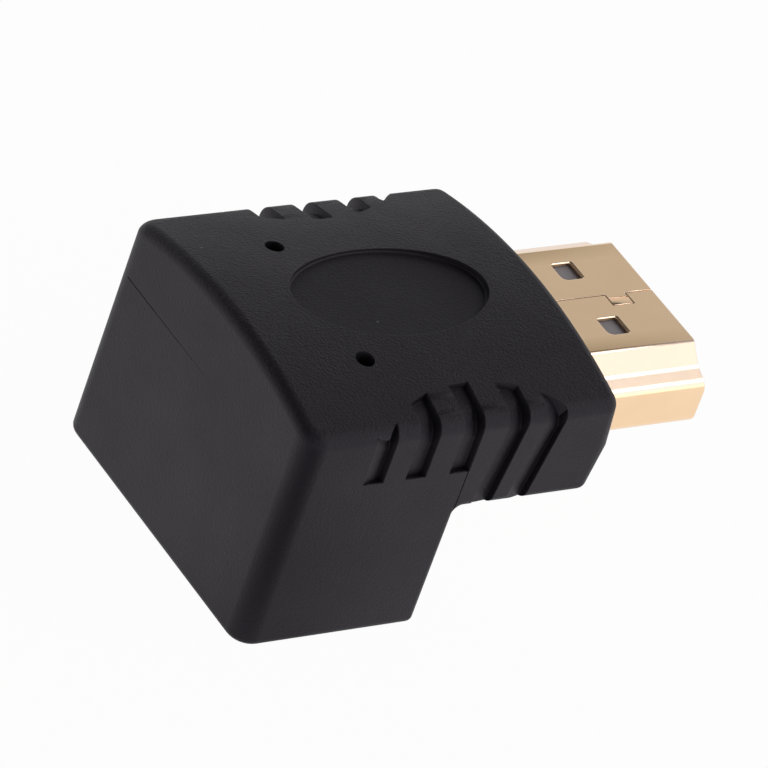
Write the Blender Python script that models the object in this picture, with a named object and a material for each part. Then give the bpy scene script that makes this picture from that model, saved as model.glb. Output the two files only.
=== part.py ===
"""Right-angle video adapter: a moulded black elbow with a gold plug on its arm and a socket in its leg.

The adapter stands on the end of its leg. +X runs along the plug, +Z points out of the crowned top face
and Y = 0 is the plane of symmetry. The origin is the middle of the bottom of its box. Units are metres.
"""

import math

import bmesh
import bpy
from mathutils import Vector

MM = 0.001

# Moulded body
BODY_LENGTH = 21.57 * MM
BODY_WIDTH = 20.6 * MM
BODY_HEIGHT = 16.46 * MM
LEG_THICKNESS = 12.16 * MM
ARM_THICKNESS = 7.92 * MM
CROWN = 1.56 * MM
TOP_EDGE_R = 0.85 * MM
BACK_CORNER_R = 1.39 * MM
FRONT_CORNER_R = 0.9 * MM
ARM_EDGE_R = 0.6 * MM
FOOT_EDGE_R = 0.3 * MM
ELBOW_FILLET_R = 1.2 * MM
FRONT_DRAFT_DEG = 5.0

# Oval recess, and the two holes left by the pins that hold the insides in the mould
OVAL_LENGTH = 13.0 * MM
OVAL_WIDTH = 7.7 * MM
OVAL_DEPTH = 0.45 * MM
OVAL_FROM_BACK = 11.08 * MM
PIN_HOLE_D = 1.2 * MM
PIN_HOLE_SPACING = 10.3 * MM
PIN_HOLE_FROM_BACK = 6.35 * MM

# Grip grooves on both sides
GROOVE_COUNT = 5
ELBOW_GROOVES = 3
GROOVE_PITCH = 2.8 * MM
GROOVE_RAMP = 0.55 * MM
GROOVE_FLOOR = 0.6 * MM
GROOVE_WALL_LEAN = 0.05 * MM
GROOVE_DEPTH = 0.52 * MM
FIRST_GROOVE_FROM_BACK = 5.1 * MM
GROOVE_END_BELOW_PARTING = 0.35 * MM
GRIP_TOP_REACH = 2.7 * MM
GRIP_ARC_R = 8.1 * MM
GRIP_ARC_FROM_BACK = 11.3 * MM

# Plug shell, one folded sheet
PLUG_WIDTH = 13.9 * MM
PLUG_HEIGHT = 4.45 * MM
PLUG_NARROW_WIDTH = 9.3 * MM
PLUG_FLANK = 1.1 * MM
PLUG_SHOULDER = 1.62 * MM
PLUG_EXPOSED = 9.17 * MM
PLUG_EMBEDDED = 5.0 * MM
PLUG_FLOOR_WALL = 0.9 * MM
PLUG_SHEET = 0.25 * MM
NARROW_CORNER_R = 0.35 * MM
FLANK_R = 0.5 * MM
SHOULDER_R = 0.75 * MM
WIDE_CORNER_R = 0.65 * MM

# Latch windows and the interlocking seam in the shell's narrow face
WINDOW_LENGTH = 1.42 * MM
WINDOW_WIDTH = 1.46 * MM
WINDOW_SPACING = 5.15 * MM
WINDOW_FROM_TIP = 4.55 * MM
WINDOW_SMALL_R = 0.1 * MM
WINDOW_LARGE_R = 0.4 * MM
SEAM_GAP = 0.05 * MM
SEAM_OFFSET = 0.12 * MM
SEAM_TAB_LENGTH = 1.5 * MM
SEAM_TAB_DEPTH = 1.0 * MM
SEAM_TAB_FROM_TIP = 2.68 * MM

# Plug insulator, with the slot that takes a socket's tongue
INSULATOR_RECESS = 0.25 * MM
INSULATOR_TAIL = 0.6 * MM
SLOT_WIDTH = 11.0 * MM
SLOT_HEIGHT = 1.8 * MM
SLOT_DEPTH = 6.6 * MM
SLOT_CENTRE = 2.45 * MM

# Contacts, in two staggered rows
CONTACT_PITCH = 1.0 * MM
WIDE_ROW_COUNT = 10
NARROW_ROW_COUNT = 9
CONTACT_WIDTH = 0.36 * MM
CONTACT_THICKNESS = 0.2 * MM
CONTACT_BUMP = 0.25 * MM
BUMP_LENGTH = 2.9 * MM
CONTACT_FRONT_GAP = 0.7 * MM
PLUG_TAIL_LENGTH = 1.7 * MM
PLUG_TAIL_BEND = 0.45 * MM
PLUG_TAIL_BEND_GAP = 0.2 * MM
SOCKET_FOOT_LENGTH = 1.0 * MM

# Socket in the leg
SOCKET_SHEET = 0.3 * MM
SOCKET_CLEARANCE = 0.05 * MM
SOCKET_RECESS = 0.1 * MM
TONGUE_WIDTH = 10.6 * MM
TONGUE_THICKNESS = 1.5 * MM
TONGUE_RECESS = 0.9 * MM
SOCKET_CONTACT_SINK = 0.02 * MM
SOCKET_CONTACT_RECESS = 0.6 * MM
SOCKET_BASE_THICKNESS = 2.6 * MM
SOCKET_BASE_RISE = 0.5 * MM

# Springs cut out of the socket shell
SPRING_WIDTH = 1.3 * MM
SPRING_LENGTH = 4.2 * MM
SPRING_THICKNESS = 0.22 * MM
SPRING_BEND = 0.4 * MM
SPRING_NOSE = 0.9 * MM
SPRING_SPACING = 6.2 * MM
SPRING_FROM_MOUTH = 1.6 * MM
SPRING_SLIT = 0.25 * MM
SPRING_ROOT = 0.4 * MM

# Board, and the inner mould around it
BOARD_THICKNESS = 1.0 * MM
BOARD_INSET = 0.45 * MM
BOARD_FROM_BACK = 2.6 * MM
BOARD_TO_PLUG = 0.25 * MM
BOARD_CORNER_R = 0.8 * MM
SIDE_WALL = 1.5 * MM
INNER_FROM_BACK = 1.8 * MM
INNER_OVER_PLUG = 0.3 * MM
INNER_UNDER_BOARD = 1.4 * MM

# Clearances, and how finely curves are drawn
FIT_GAP = 0.05 * MM
SOLDER_GAP = 0.03 * MM
OVERSHOOT = 1.0 * MM
SKIM = 0.03 * MM
SAME_PLACE = 0.001 * MM
EDGE_SHARE = 0.95
ARC_STEPS = 4
CROWN_STRIPS = 14
OVAL_STEPS = 40
HOLE_STEPS = 14

# Places that follow from the sizes
HALF_WIDTH = BODY_WIDTH / 2
BACK_X = -(BODY_LENGTH + PLUG_EXPOSED) / 2
FRONT_X = BACK_X + BODY_LENGTH
LEG_FRONT_X = BACK_X + LEG_THICKNESS
TOP_Z = BODY_HEIGHT
ARM_BOTTOM_Z = TOP_Z - ARM_THICKNESS
PLUG_TIP_X = FRONT_X + PLUG_EXPOSED
PLUG_WIDE_Z = ARM_BOTTOM_Z + PLUG_FLOOR_WALL
PLUG_NARROW_Z = PLUG_WIDE_Z + PLUG_HEIGHT
PARTING_Z = PLUG_WIDE_Z + PLUG_HEIGHT / 2
SHELL_REAR_X = FRONT_X - PLUG_EMBEDDED
INSULATOR_REAR_X = SHELL_REAR_X - INSULATOR_TAIL
INSULATOR_FRONT_X = PLUG_TIP_X - INSULATOR_RECESS
SLOT_Z = PLUG_NARROW_Z - SLOT_CENTRE
BOARD_TOP_Z = SLOT_Z + BOARD_THICKNESS / 2
BOARD_BOTTOM_Z = SLOT_Z - BOARD_THICKNESS / 2
INNER_WIDTH = BODY_WIDTH - 2 * SIDE_WALL
BOARD_WIDTH = PLUG_WIDTH - 2 * BOARD_INSET
INNER_BACK_X = BACK_X + INNER_FROM_BACK
INNER_FRONT_X = SHELL_REAR_X - FIT_GAP
INNER_TOP_Z = PLUG_NARROW_Z + INNER_OVER_PLUG
INNER_BOTTOM_Z = BOARD_BOTTOM_Z - INNER_UNDER_BOARD
SOCKET_X = (BACK_X + LEG_FRONT_X) / 2
TONGUE_X = SOCKET_X - PLUG_HEIGHT / 2 + SLOT_CENTRE
BASE_TOP_Z = INNER_BOTTOM_Z + SOCKET_BASE_RISE
BASE_BOTTOM_Z = BASE_TOP_Z - SOCKET_BASE_THICKNESS
TONGUE_TIP_Z = SOCKET_RECESS + TONGUE_RECESS
CONTACT_ROOM = CONTACT_THICKNESS + 2 * FIT_GAP
ROW_HALF_SPAN = (WIDE_ROW_COUNT - 1) * CONTACT_PITCH / 2 + CONTACT_WIDTH / 2 + FIT_GAP


def clear_scene():
    for obj in list(bpy.data.objects):
        bpy.data.objects.remove(obj, do_unlink=True)


def material(name, colour, roughness, metallic):
    """A Principled material of one colour."""
    made = bpy.data.materials.new(name)
    made.use_nodes = True
    shader = made.node_tree.nodes["Principled BSDF"]
    shader.inputs["Base Color"].default_value = (*colour, 1.0)
    shader.inputs["Roughness"].default_value = roughness
    shader.inputs["Metallic"].default_value = metallic
    made.diffuse_color = (*colour, 1.0)
    return made


def finish(bm, name, surface=None):
    """Turns a bmesh into a named object with its faces pointing out."""
    bmesh.ops.recalc_face_normals(bm, faces=bm.faces)
    mesh = bpy.data.meshes.new(name)
    bm.to_mesh(mesh)
    bm.free()
    obj = bpy.data.objects.new(name, mesh)
    bpy.context.scene.collection.objects.link(obj)
    if surface:
        mesh.materials.append(surface)
    return obj


def boolean(obj, other, operation="DIFFERENCE"):
    """Cuts the other object out of this one, or joins it, and leaves the other one as a hidden helper."""
    other.hide_render = True
    other.display_type = "WIRE"
    modifier = obj.modifiers.new(other.name, "BOOLEAN")
    modifier.operation = operation
    modifier.object = other


def add_loft(bm, sections):
    """A closed solid through sections that have the same number of points."""
    rings = [[bm.verts.new(point) for point in section] for section in sections]
    for near, far in zip(rings, rings[1:]):
        for i in range(len(near)):
            j = (i + 1) % len(near)
            bm.faces.new((near[i], near[j], far[j], far[i]))
    bm.faces.new(rings[0])
    bm.faces.new(rings[-1])


def add_box(bm, low, high):
    bottom, top = [
        [(low[0], low[1], z), (high[0], low[1], z), (high[0], high[1], z), (low[0], high[1], z)]
        for z in (low[2], high[2])
    ]
    add_loft(bm, (bottom, top))


def box(name, low, high, surface=None):
    bm = bmesh.new()
    add_box(bm, low, high)
    return finish(bm, name, surface)


def prism(name, outline, start, end, place, surface=None):
    """The solid of an outline from start to end, in the direction that place gives it."""
    bm = bmesh.new()
    add_loft(bm, [[place(u, v, s) for u, v in outline] for s in (start, end)])
    return finish(bm, name, surface)


def tube(name, outer, inner, start, end, place, surface):
    """The wall between two outlines that have the same number of points, open at both ends."""
    bm = bmesh.new()
    rings = [
        [bm.verts.new(place(u, v, s)) for u, v in outline]
        for outline, s in ((outer, start), (outer, end), (inner, end), (inner, start))
    ]
    for near, far in zip(rings, rings[1:] + rings[:1]):
        for i in range(len(near)):
            j = (i + 1) % len(near)
            bm.faces.new((near[i], near[j], far[j], far[i]))
    return finish(bm, name, surface)


def rounded(corners, grow=0.0):
    """The outline through (u, v, radius) corners as points, after every side has moved out by grow."""
    count = len(corners)
    area = sum(a[0] * b[1] - b[0] * a[1] for a, b in zip(corners, corners[1:] + corners[:1]))
    turn = math.copysign(1, area)
    points = []
    for i, (u, v, radius) in enumerate(corners):
        here = Vector((u, v))
        arriving = (here - Vector(corners[i - 1][:2])).normalized()
        leaving = (Vector(corners[(i + 1) % count][:2]) - here).normalized()
        out_in = Vector((arriving.y, -arriving.x)) * turn
        out_out = Vector((leaving.y, -leaving.x)) * turn
        corner = here + (out_in + out_out) * (grow / (1 + out_in.dot(out_out)))
        convex = arriving.cross(leaving) * turn > 0
        arc_r = max(radius + grow if convex else radius - grow, SKIM)
        half = (math.pi - arriving.angle(leaving)) / 2
        centre = corner + (leaving - arriving).normalized() * (arc_r / math.sin(half))
        first = corner - arriving * (arc_r / math.tan(half)) - centre
        last = corner + leaving * (arc_r / math.tan(half)) - centre
        start = math.atan2(first.y, first.x)
        sweep = (math.atan2(last.y, last.x) - start + math.pi) % (2 * math.pi) - math.pi
        for step in range(ARC_STEPS + 1):
            angle = start + sweep * step / ARC_STEPS
            points.append((centre.x + arc_r * math.cos(angle), centre.y + arc_r * math.sin(angle)))
    return points


def thick_line(path, thickness):
    """The outline of a line of a given thickness, with mitred bends."""
    sides = ([], [])
    for i, point in enumerate(path):
        here = Vector(point)
        arriving = (here - Vector(path[i - 1])).normalized() if i else None
        leaving = (Vector(path[i + 1]) - here).normalized() if i + 1 < len(path) else None
        arriving = arriving or leaving
        leaving = leaving or arriving
        across_in = Vector((-arriving.y, arriving.x))
        across_out = Vector((-leaving.y, leaving.x))
        mitre = (across_in + across_out) / (1 + across_in.dot(across_out)) * thickness / 2
        sides[0].append(tuple(here + mitre))
        sides[1].append(tuple(here - mitre))
    return sides[0] + sides[1][::-1]


def plug_outline(grow=0.0):
    """A plug's outline as (across, below the narrow face), grown or shrunk all round."""
    half = [
        (PLUG_NARROW_WIDTH / 2, 0, NARROW_CORNER_R),
        (PLUG_NARROW_WIDTH / 2 + PLUG_FLANK, PLUG_FLANK, FLANK_R),
        (PLUG_WIDTH / 2, PLUG_SHOULDER, SHOULDER_R),
        (PLUG_WIDTH / 2, PLUG_HEIGHT, WIDE_CORNER_R),
    ]
    return rounded(half + [(-u, v, radius) for u, v, radius in reversed(half)], grow)


def along_plug(u, v, s):
    """Places an outline across the plug, with its narrow side up."""
    return (s, u, PLUG_NARROW_Z - v)


def along_socket(u, v, s):
    """Places an outline across the socket, with its narrow side at the back."""
    return (SOCKET_X - PLUG_HEIGHT / 2 + v, u, s)


def upright(u, v, s):
    return (u, v, s)


def crowned(y, z):
    """How high a point lies once the top has been crowned; the lower half of the arm keeps its height."""
    full_from = TOP_Z - 2 * TOP_EDGE_R
    share = min(max((z - PARTING_Z) / (full_from - PARTING_Z), 0), 1)
    return z - CROWN * (y / HALF_WIDTH) ** 2 * share


def sharp_edges(bm, wanted):
    """The convex edges whose two ends are both wanted."""
    return [
        edge
        for edge in bm.edges
        if all(wanted(v.co) for v in edge.verts)
        and edge.calc_face_angle_signed(0) > math.radians(40)
    ]


def round_edges(bm, edges, radius):
    bmesh.ops.bevel(
        bm, geom=edges, offset=radius, segments=ARC_STEPS, profile=0.5, affect="EDGES", clamp_overlap=False
    )
    bmesh.ops.recalc_face_normals(bm, faces=bm.faces)


def near(a, b):
    return abs(a - b) < SAME_PLACE


def elbow_block():
    """The body as a plain L. An edge that runs round a corner gets at most EDGE_SHARE of its radius."""
    side = [
        (BACK_X, 0),
        (LEG_FRONT_X, 0),
        (LEG_FRONT_X, ARM_BOTTOM_Z),
        (FRONT_X, ARM_BOTTOM_Z),
        (FRONT_X, TOP_Z),
        (BACK_X, TOP_Z),
    ]
    bm = bmesh.new()
    add_loft(bm, [[(x, y, z) for x, z in side] for y in (-HALF_WIDTH, HALF_WIDTH)])
    bmesh.ops.recalc_face_normals(bm, faces=bm.faces)
    inner_corner = [
        e for e in bm.edges if all(near(v.co.x, LEG_FRONT_X) and near(v.co.z, ARM_BOTTOM_Z) for v in e.verts)
    ]
    round_edges(bm, inner_corner, ELBOW_FILLET_R)
    for x, radius in ((BACK_X, BACK_CORNER_R), (FRONT_X, FRONT_CORNER_R)):
        upright_edges = sharp_edges(bm, lambda co: near(co.x, x) and near(abs(co.y), HALF_WIDTH))
        round_edges(bm, upright_edges, radius)
    under = sharp_edges(bm, lambda co: co.x > LEG_FRONT_X - SAME_PLACE and co.z < ARM_BOTTOM_Z + SAME_PLACE)
    under = [e for e in under if not all(near(v.co.z, 0) for v in e.verts)]
    under_r = min(ARM_EDGE_R, EDGE_SHARE * FRONT_CORNER_R)
    round_edges(bm, under, under_r)
    corner_r = min(BACK_CORNER_R, FRONT_CORNER_R)
    round_edges(bm, sharp_edges(bm, lambda co: near(co.z, TOP_Z)), min(TOP_EDGE_R, EDGE_SHARE * corner_r))
    round_edges(bm, sharp_edges(bm, lambda co: near(co.z, 0)), min(FOOT_EDGE_R, EDGE_SHARE * under_r))
    return bm


def slice_across(bm, place, normal):
    geometry = list(bm.verts) + list(bm.edges) + list(bm.faces)
    bmesh.ops.bisect_plane(bm, geom=geometry, dist=SAME_PLACE, plane_co=place, plane_no=normal)


def body_block():
    """The rounded L with its crowned top, and its front face leaning back below the parting line."""
    bm = elbow_block()
    for strip in range(1, CROWN_STRIPS):
        slice_across(bm, (0, BODY_WIDTH * (strip / CROWN_STRIPS - 0.5), 0), (0, 1, 0))
    slice_across(bm, (0, 0, PARTING_Z), (0, 0, 1))
    draft = math.tan(math.radians(FRONT_DRAFT_DEG))
    draft_from = FRONT_X - 2 * FRONT_CORNER_R
    for v in bm.verts:
        share = max((v.co.x - draft_from) / (FRONT_X - draft_from), 0)
        v.co.x -= share * draft * max(PARTING_Z - v.co.z, 0)
        v.co.z = crowned(v.co.y, v.co.z)
    return bm


def grip_reach(x):
    """How far from the middle the grooves start on the top face, along the arc that bounds them."""
    along = min(abs(x - BACK_X - GRIP_ARC_FROM_BACK), GRIP_ARC_R)
    reach = HALF_WIDTH - GRIP_TOP_REACH + GRIP_ARC_R - math.sqrt(GRIP_ARC_R**2 - along**2)
    return min(reach, HALF_WIDTH - 0.6 * TOP_EDGE_R)


def groove_section(x, depth, end_z, side):
    """A slice across a groove's cutter: the body's outline moved in by the depth, closed outside the body."""
    reach = grip_reach(x)
    arc_y = HALF_WIDTH - TOP_EDGE_R
    arc_r = max(TOP_EDGE_R - depth, SKIM)
    inner = [(min(reach + (arc_y - reach) * step / 3, arc_y), TOP_Z - depth) for step in range(3)]
    for step in range(ARC_STEPS + 1):
        angle = math.pi / 2 * (1 - step / ARC_STEPS)
        inner.append((arc_y + arc_r * math.cos(angle), TOP_Z - TOP_EDGE_R + arc_r * math.sin(angle)))
    inner = [(max(y, reach), z) for y, z in inner]
    outline = [(reach, TOP_Z + OVERSHOOT)]
    outline += [(y, crowned(y, z)) for y, z in inner]
    outline += [(HALF_WIDTH - depth, end_z)]
    outline += [(HALF_WIDTH + OVERSHOOT, end_z), (HALF_WIDTH + OVERSHOOT, TOP_Z + OVERSHOOT)]
    return [(x, side * y, z) for y, z in outline]


def groove_cutters():
    bm = bmesh.new()
    for index in range(GROOVE_COUNT):
        start = BACK_X + FIRST_GROOVE_FROM_BACK + index * GROOVE_PITCH
        floor = start + GROOVE_RAMP
        wall = floor + GROOVE_FLOOR
        end_z = PARTING_Z - GROOVE_END_BELOW_PARTING
        if index >= ELBOW_GROOVES:
            end_z = ARM_BOTTOM_Z - OVERSHOOT
        foot = wall - GROOVE_WALL_LEAN
        stations = ((start, -SKIM), (floor, GROOVE_DEPTH), (foot, GROOVE_DEPTH), (wall, -SKIM))
        for side in (-1, 1):
            add_loft(bm, [groove_section(x, depth, end_z, side) for x, depth in stations])
    return finish(bm, "groove_cutters")


def oval_cutter():
    middle = BACK_X + OVAL_FROM_BACK
    turns = [2 * math.pi * step / OVAL_STEPS for step in range(OVAL_STEPS)]
    outline = [(middle + OVAL_LENGTH / 2 * math.cos(t), OVAL_WIDTH / 2 * math.sin(t)) for t in turns]
    return prism("oval_cutter", outline, TOP_Z - OVAL_DEPTH, TOP_Z + OVERSHOOT, upright)


def pin_hole_cutters():
    bm = bmesh.new()
    turns = [2 * math.pi * step / HOLE_STEPS for step in range(HOLE_STEPS)]
    for side in (-1, 1):
        x = BACK_X + PIN_HOLE_FROM_BACK
        y = side * PIN_HOLE_SPACING / 2
        ring = [(x + PIN_HOLE_D / 2 * math.cos(t), y + PIN_HOLE_D / 2 * math.sin(t)) for t in turns]
        add_loft(bm, [[(*point, z) for point in ring] for z in (INNER_TOP_Z - SKIM, TOP_Z + OVERSHOOT)])
    return finish(bm, "pin_hole_cutters")


def inner_box(gap):
    """Lowest and highest corners of the inner mould, grown by a gap."""
    low = (INNER_BACK_X - gap, -INNER_WIDTH / 2 - gap, INNER_BOTTOM_Z - gap)
    high = (INNER_FRONT_X + gap, INNER_WIDTH / 2 + gap, INNER_TOP_Z + gap)
    return low, high


def make_body(surface):
    body = finish(body_block(), "body", surface)
    boolean(body, box("inner_mould_space", *inner_box(FIT_GAP)))
    opening = plug_outline(FIT_GAP)
    boolean(body, prism("plug_opening", opening, INNER_FRONT_X - FIT_GAP, FRONT_X + OVERSHOOT, along_plug))
    opening = plug_outline(SOCKET_CLEARANCE + SOCKET_SHEET + FIT_GAP)
    boolean(body, prism("socket_opening", opening, -OVERSHOOT, INNER_BOTTOM_Z + FIT_GAP, along_socket))
    boolean(body, groove_cutters())
    boolean(body, oval_cutter())
    boolean(body, pin_hole_cutters())
    return body


def make_plug_shell(surface):
    inner = plug_outline(-PLUG_SHEET)
    shell = tube("plug_shell", plug_outline(), inner, SHELL_REAR_X, PLUG_TIP_X, along_plug, surface)
    boolean(shell, seam_cutter())
    boolean(shell, window_cutters())
    return shell


def seam_cutter():
    """The seam runs the length of the narrow face and steps round a tab that locks the two edges."""
    tab_end = PLUG_TIP_X - SEAM_TAB_FROM_TIP + SEAM_TAB_LENGTH / 2
    tab_start = tab_end - SEAM_TAB_LENGTH
    path = [
        (SHELL_REAR_X - OVERSHOOT, SEAM_OFFSET),
        (tab_start, SEAM_OFFSET),
        (tab_start, SEAM_OFFSET - SEAM_TAB_DEPTH),
        (tab_end, SEAM_OFFSET - SEAM_TAB_DEPTH),
        (tab_end, SEAM_OFFSET),
        (PLUG_TIP_X + OVERSHOOT, SEAM_OFFSET),
    ]
    line = thick_line(path, SEAM_GAP)
    return prism("seam_cutter", line, PLUG_NARROW_Z - 2 * PLUG_SHEET, PLUG_NARROW_Z + OVERSHOOT, upright)


def window_cutters():
    """Two latch windows through each flat face, each with one corner rounder than the others."""
    bm = bmesh.new()
    middle = PLUG_TIP_X - WINDOW_FROM_TIP
    low_x = middle - WINDOW_LENGTH / 2
    high_x = middle + WINDOW_LENGTH / 2
    narrow_face = (PLUG_NARROW_Z - 2 * PLUG_SHEET, PLUG_NARROW_Z + OVERSHOOT)
    wide_face = (PLUG_WIDE_Z - OVERSHOOT, PLUG_WIDE_Z + 2 * PLUG_SHEET)
    for side in (-1, 1):
        low_y = side * WINDOW_SPACING / 2 - WINDOW_WIDTH / 2
        high_y = low_y + WINDOW_WIDTH
        outline = rounded(
            [
                (low_x, low_y, WINDOW_LARGE_R),
                (high_x, low_y, WINDOW_SMALL_R),
                (high_x, high_y, WINDOW_SMALL_R),
                (low_x, high_y, WINDOW_SMALL_R),
            ]
        )
        for heights in (narrow_face, wide_face):
            add_loft(bm, [[(x, y, z) for x, y in outline] for z in heights])
    return finish(bm, "window_cutters")


def contact_rows():
    """Gives each contact's number, its side of the tongue and its place across it: +1 is the narrow side."""
    number = 0
    for side, count in ((-1, WIDE_ROW_COUNT), (1, NARROW_ROW_COUNT)):
        for index in range(count):
            number += 1
            yield number, side, (index - (count - 1) / 2) * CONTACT_PITCH


def make_plug_insulator(surface):
    outline = plug_outline(-PLUG_SHEET - FIT_GAP)
    insulator = prism("plug_insulator", outline, INSULATOR_REAR_X, INSULATOR_FRONT_X, along_plug, surface)
    low = (INSULATOR_FRONT_X - SLOT_DEPTH, -SLOT_WIDTH / 2, SLOT_Z - SLOT_HEIGHT / 2)
    high = (INSULATOR_FRONT_X + OVERSHOOT, SLOT_WIDTH / 2, SLOT_Z + SLOT_HEIGHT / 2)
    boolean(insulator, box("tongue_slot", low, high))
    bm = bmesh.new()
    channel = CONTACT_WIDTH / 2 + FIT_GAP
    channel_end = INSULATOR_FRONT_X - CONTACT_FRONT_GAP + FIT_GAP
    for _, side, y in contact_rows():
        heights = (SLOT_Z + side * (SLOT_HEIGHT / 2 - SKIM), SLOT_Z + side * (SLOT_HEIGHT / 2 + CONTACT_ROOM))
        low = (INSULATOR_REAR_X - OVERSHOOT, y - channel, min(heights))
        add_box(bm, low, (channel_end, y + channel, max(heights)))
    boolean(insulator, finish(bm, "plug_contact_channels"))
    return insulator


def contact(name, path, y, surface):
    """A strip along a path of (x, z) points, bent from sheet."""
    outline = thick_line(path, CONTACT_THICKNESS)
    width = CONTACT_WIDTH / 2
    return prism(name, outline, y - width, y + width, lambda x, z, s: (x, s, z), surface)


def make_plug_contacts(surface):
    """Each contact lies in its channel, bows into the slot near its tip, and ends on the board."""
    in_channel = SLOT_HEIGHT / 2 + FIT_GAP + CONTACT_THICKNESS / 2
    on_board = BOARD_THICKNESS / 2 + SOLDER_GAP + CONTACT_THICKNESS / 2
    tip = INSULATOR_FRONT_X - CONTACT_FRONT_GAP
    bend_end = INSULATOR_REAR_X - PLUG_TAIL_BEND_GAP
    for number, side, y in contact_rows():
        path = [
            (INSULATOR_REAR_X - PLUG_TAIL_LENGTH, SLOT_Z + side * on_board),
            (bend_end - PLUG_TAIL_BEND, SLOT_Z + side * on_board),
            (bend_end, SLOT_Z + side * in_channel),
            (tip - BUMP_LENGTH, SLOT_Z + side * in_channel),
            (tip - BUMP_LENGTH / 2, SLOT_Z + side * (in_channel - CONTACT_BUMP)),
            (tip, SLOT_Z + side * in_channel),
        ]
        contact(f"plug_contact_{number:02d}", path, y, surface)


def make_board(surface):
    half = BOARD_WIDTH / 2
    back = BACK_X + BOARD_FROM_BACK
    front = INSULATOR_REAR_X - BOARD_TO_PLUG
    corners = [(back, -half), (front, -half), (front, half), (back, half)]
    outline = rounded([(x, y, BOARD_CORNER_R) for x, y in corners])
    return prism("circuit_board", outline, BOARD_BOTTOM_Z, BOARD_TOP_Z, upright, surface)


def make_inner_mould(surface):
    """A block moulded round the board, with room for the board, both connectors' backs and their contacts."""
    mould = box("inner_mould", *inner_box(0), surface)
    half = BOARD_WIDTH / 2 + FIT_GAP
    low = (BACK_X + BOARD_FROM_BACK - FIT_GAP, -half, BOARD_BOTTOM_Z - FIT_GAP)
    high = (INSULATOR_REAR_X, half, BOARD_TOP_Z + FIT_GAP)
    boolean(mould, box("board_space", low, high))
    outline = plug_outline(-PLUG_SHEET)
    boolean(mould, prism("plug_back_space", outline, INSULATOR_REAR_X - FIT_GAP, FRONT_X, along_plug))
    outline = plug_outline(SOCKET_CLEARANCE)
    boolean(mould, prism("socket_back_space", outline, 0, BASE_TOP_Z + FIT_GAP, along_socket))
    tail_height = SLOT_HEIGHT / 2 + CONTACT_ROOM
    low = (INSULATOR_REAR_X - PLUG_TAIL_LENGTH - FIT_GAP, -ROW_HALF_SPAN, SLOT_Z - tail_height)
    boolean(mould, box("plug_tail_space", low, (INSULATOR_REAR_X, ROW_HALF_SPAN, SLOT_Z + tail_height)))
    foot = TONGUE_THICKNESS / 2 + SOCKET_FOOT_LENGTH + FIT_GAP
    low = (TONGUE_X - foot, -ROW_HALF_SPAN, BASE_TOP_Z)
    boolean(mould, box("socket_foot_space", low, (TONGUE_X + foot, ROW_HALF_SPAN, BOARD_BOTTOM_Z)))
    return mould


def make_socket_shell(surface):
    inner = plug_outline(SOCKET_CLEARANCE)
    outer = plug_outline(SOCKET_CLEARANCE + SOCKET_SHEET)
    top = INNER_BOTTOM_Z - FIT_GAP
    shell = tube("socket_shell", outer, inner, SOCKET_RECESS, top, along_socket, surface)
    cutters = bmesh.new()
    springs = bmesh.new()
    low_z = SOCKET_RECESS + SPRING_FROM_MOUTH
    root_z = low_z + SPRING_LENGTH
    opening = SPRING_WIDTH / 2 + SPRING_SLIT
    for face in (-1, 1):
        sheet_x = SOCKET_X + face * (PLUG_HEIGHT / 2 + SOCKET_CLEARANCE + SOCKET_SHEET / 2)
        path = [
            (sheet_x, root_z + SPRING_ROOT),
            (sheet_x, root_z),
            (sheet_x - face * SPRING_BEND, low_z + SPRING_NOSE),
            (sheet_x - face * SPRING_BEND / 2, low_z + SPRING_SLIT),
        ]
        strip = thick_line(path, SPRING_THICKNESS)
        for side in (-1, 1):
            y = side * SPRING_SPACING / 2
            low = (sheet_x - SOCKET_SHEET, y - opening, low_z)
            add_box(cutters, low, (sheet_x + SOCKET_SHEET, y + opening, root_z))
            edges = (y - SPRING_WIDTH / 2, y + SPRING_WIDTH / 2)
            add_loft(springs, [[(x, edge, z) for x, z in strip] for edge in edges])
    boolean(shell, finish(cutters, "spring_openings"))
    boolean(shell, finish(springs, "shell_springs"), "UNION")
    return shell


def make_socket_insulator(surface):
    """A base that closes the shell, and the tongue that stands down from it into the mouth."""
    base = prism(
        "socket_insulator",
        plug_outline(SOCKET_CLEARANCE - FIT_GAP),
        BASE_BOTTOM_Z,
        BASE_TOP_Z,
        along_socket,
        surface,
    )
    low = (TONGUE_X - TONGUE_THICKNESS / 2, -TONGUE_WIDTH / 2, TONGUE_TIP_Z)
    high = (TONGUE_X + TONGUE_THICKNESS / 2, TONGUE_WIDTH / 2, BASE_BOTTOM_Z + SOCKET_BASE_RISE)
    boolean(base, box("tongue", low, high), "UNION")
    bm = bmesh.new()
    outside = TONGUE_THICKNESS / 2 + SKIM
    inside = TONGUE_THICKNESS / 2 - SOCKET_CONTACT_SINK - CONTACT_THICKNESS - FIT_GAP
    for _, side, y in contact_rows():
        places = (TONGUE_X - side * inside, TONGUE_X - side * outside)
        width = CONTACT_WIDTH / 2 + FIT_GAP
        low = (min(places), y - width, TONGUE_TIP_Z + SOCKET_CONTACT_RECESS - FIT_GAP)
        add_box(bm, low, (max(places), y + width, BASE_TOP_Z + OVERSHOOT))
    boolean(base, finish(bm, "socket_contact_channels"))
    return base


def make_socket_contacts(surface):
    """Each contact lies flat on the tongue, goes up through the base and turns out under the board."""
    on_tongue = TONGUE_THICKNESS / 2 - SOCKET_CONTACT_SINK - CONTACT_THICKNESS / 2
    under_board = BOARD_BOTTOM_Z - SOLDER_GAP - CONTACT_THICKNESS / 2
    for number, side, y in contact_rows():
        x = TONGUE_X - side * on_tongue
        path = [
            (x, TONGUE_TIP_Z + SOCKET_CONTACT_RECESS),
            (x, under_board),
            (x - side * SOCKET_FOOT_LENGTH, under_board),
        ]
        contact(f"socket_contact_{number:02d}", path, y, surface)


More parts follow.
